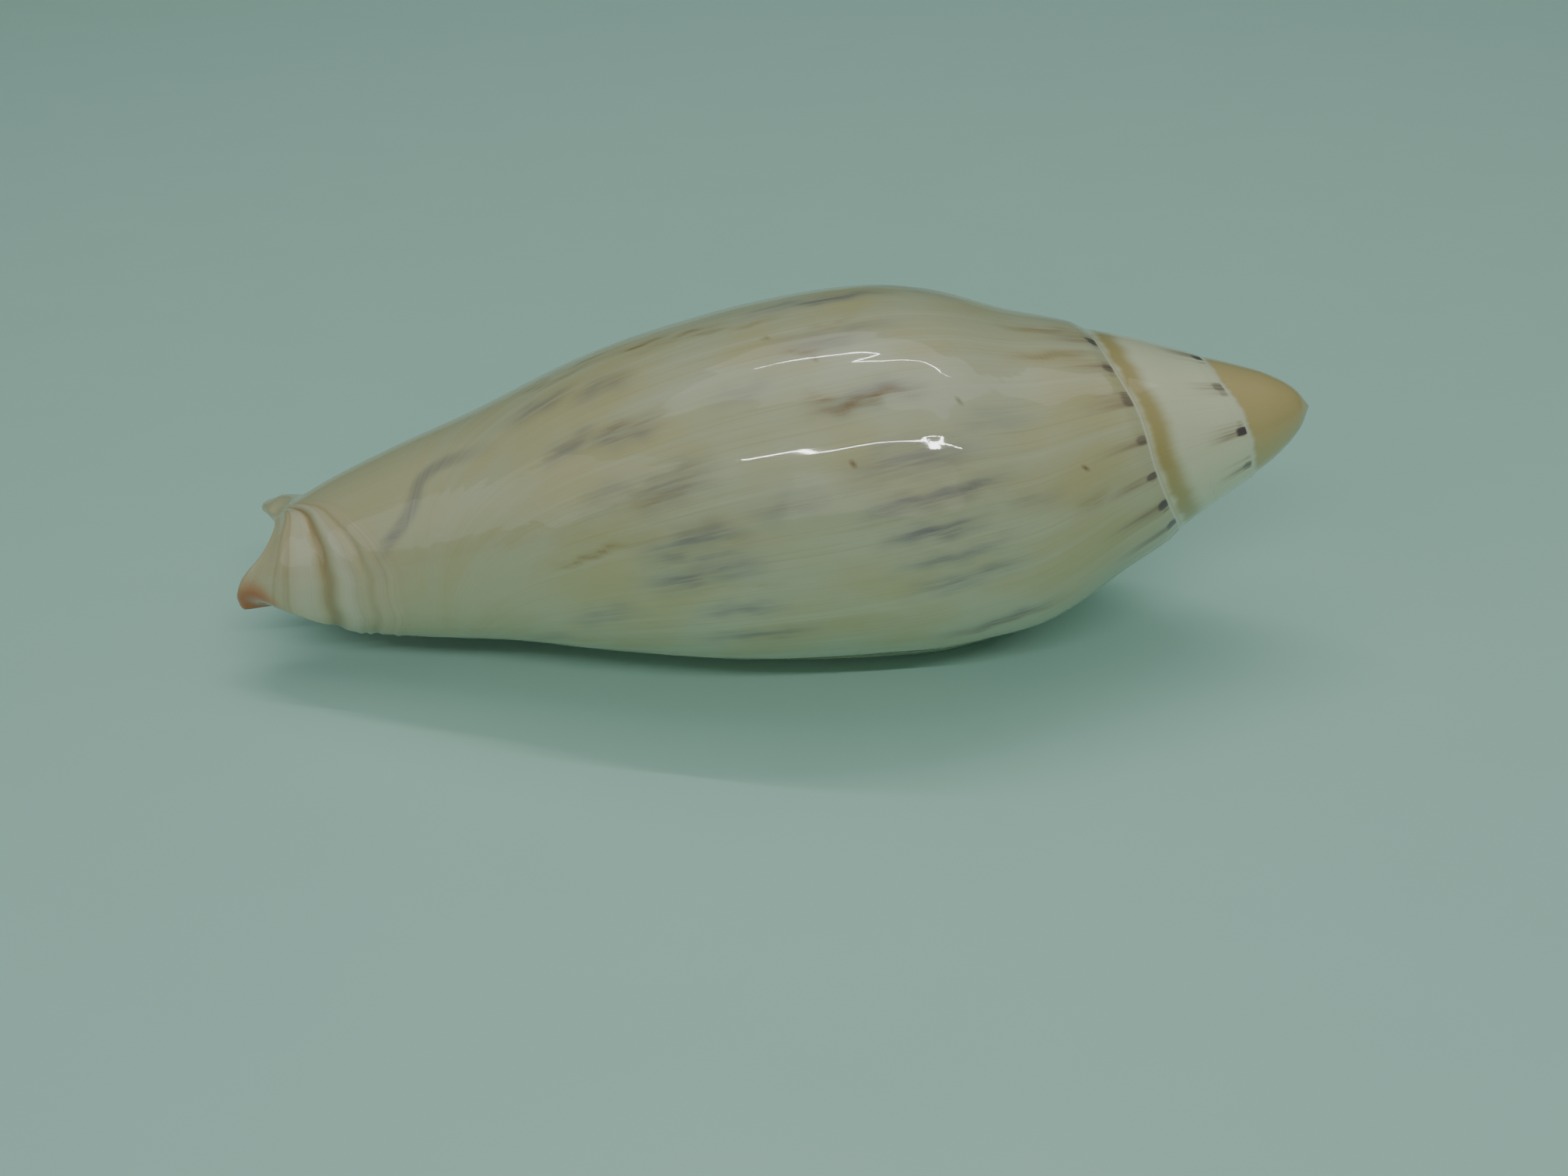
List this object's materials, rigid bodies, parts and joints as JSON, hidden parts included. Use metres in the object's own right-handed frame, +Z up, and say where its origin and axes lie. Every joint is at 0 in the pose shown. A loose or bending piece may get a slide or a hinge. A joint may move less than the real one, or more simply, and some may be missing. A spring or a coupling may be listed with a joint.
{
  "type": "volute shell",
  "caption": "Glossy spindle-shaped sea snail shell with a rounded apex, a long slit mouth underneath and a notched front end, lying on its mouth.",
  "frame": {"origin": "middle of the bounding box at the floor, with the shell lying on its lip and belly as it rests", "axes": "+X along the shell towards the apex, with the notch at -X; +Z up; the mouth opens downwards and its lip comes round from +Y"},
  "size_m": [0.0844, 0.029, 0.0296],
  "materials": {
    "shell": "gloss"
  },
  "bodies": {
    "root": {"shell": "shell"}
  },
  "joints": []
}
